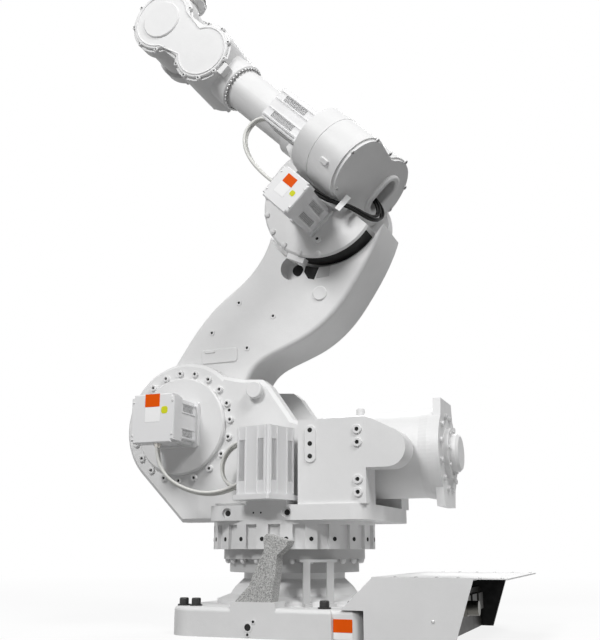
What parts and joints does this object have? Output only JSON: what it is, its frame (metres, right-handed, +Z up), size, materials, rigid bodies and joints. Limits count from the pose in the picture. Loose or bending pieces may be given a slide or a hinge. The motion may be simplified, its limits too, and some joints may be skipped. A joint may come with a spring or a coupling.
{
  "type": "industrial robot arm",
  "caption": "Heavy floor-mounted jointed robot arm: cast base, turning frame with spring balancer, leaning lower arm, elbow drum, forearm tube and tilting wrist with tool flange.",
  "frame": {"origin": "on axis 1 at the underside of the base", "axes": "+X forward over the base, +Y to the robot's left, +Z up"},
  "size_m": [1.6773, 0.87, 3.0304],
  "materials": {
    "white_paint": "satin",
    "motor_paint": "satin",
    "grey_paint": "satin",
    "raw_casting": "rough",
    "dark_sheet": "satin",
    "plated_metal": "polished",
    "bare_steel": "machined",
    "light_cable": "satin",
    "black_cable": "satin"
  },
  "bodies": {
    "base": {"base_casting": "white_paint", "axis_1_gear_flange": "grey_paint", "axis_1_stop_pin": "raw_casting", "strap_bracket": "grey_paint", "cable_box": "white_paint", "cable_box_lid": "white_paint", "connector_plate": "dark_sheet", "cable_gland": "plated_metal"},
    "turning_frame": {"slewing_ring": "white_paint", "frame_deck": "white_paint", "left_cheek": "white_paint", "right_cheek": "white_paint", "left_rear_arm": "white_paint", "right_rear_arm": "white_paint", "axis_2_gear_unit": "white_paint", "axis_2_bearing_cover": "white_paint", "axis_2_motor": "motor_paint", "axis_2_motor_cover": "motor_paint", "axis_1_motor": "motor_paint", "shoulder_plug": "white_paint", "shoulder_lead": "light_cable", "shoulder_loop": "light_cable"},
    "balancer": {"balancer_cylinder": "white_paint", "balancer_end_plate": "white_paint", "balancer_end_cap": "white_paint"},
    "lower_arm": {"lower_arm": "white_paint"},
    "upper_arm": {"upper_arm_housing": "white_paint", "rear_gear_cover": "white_paint", "cable_grommet": "white_paint", "axis_3_gear_cover": "white_paint", "axis_3_motor": "motor_paint", "axis_3_motor_cover": "motor_paint", "axis_4_motor": "motor_paint", "elbow_lead_inner": "light_cable", "elbow_lead_outer": "light_cable", "cable_bundle_inner": "black_cable", "cable_bundle_outer": "black_cable"},
    "forearm": {"arm_tube": "white_paint", "wrist_ring": "white_paint", "wrist_housing": "white_paint", "wrist_left_cover": "white_paint", "wrist_right_cover": "white_paint"},
    "tilt": {"tilt_housing": "white_paint"},
    "tool": {"tool_flange": "bare_steel"}
  },
  "joints": [
    {"name": "axis_1", "type": "hinge", "parent": "base", "child": "turning_frame", "pos_m": [0, 0, 0], "axis": [0, 0, 1], "range_deg": [-180, 180]},
    {"name": "balancer_tilt", "type": "hinge", "parent": "turning_frame", "child": "balancer", "pos_m": [-0.47, 0, 0.65], "axis": [0, 1, 0], "range_deg": [-3, 3]},
    {"name": "axis_2", "type": "hinge", "parent": "turning_frame", "child": "lower_arm", "pos_m": [0.41, 0, 0.78], "axis": [0, 1, 0], "range_deg": [-27.5, 117.5]},
    {"name": "axis_3", "type": "hinge", "parent": "lower_arm", "child": "upper_arm", "pos_m": [-0.18569, 0, 1.68685], "axis": [0, -1, 0], "range_deg": [-70, 30]},
    {"name": "axis_4", "type": "hinge", "parent": "upper_arm", "child": "forearm", "pos_m": [-0.01457, 0, 2.12384], "axis": [0.7071, 0, 0.7071], "range_deg": [-300, 300]},
    {"name": "axis_5", "type": "hinge", "parent": "forearm", "child": "tilt", "pos_m": [0.63243, 0, 2.77085], "axis": [0, -1, 0], "range_deg": [-150, 50]},
    {"name": "axis_6", "type": "hinge", "parent": "tilt", "child": "tool", "pos_m": [0.61064, 0, 3.01989], "axis": [-0.0872, 0, 0.9962], "range_deg": [-300, 300]}
  ]
}
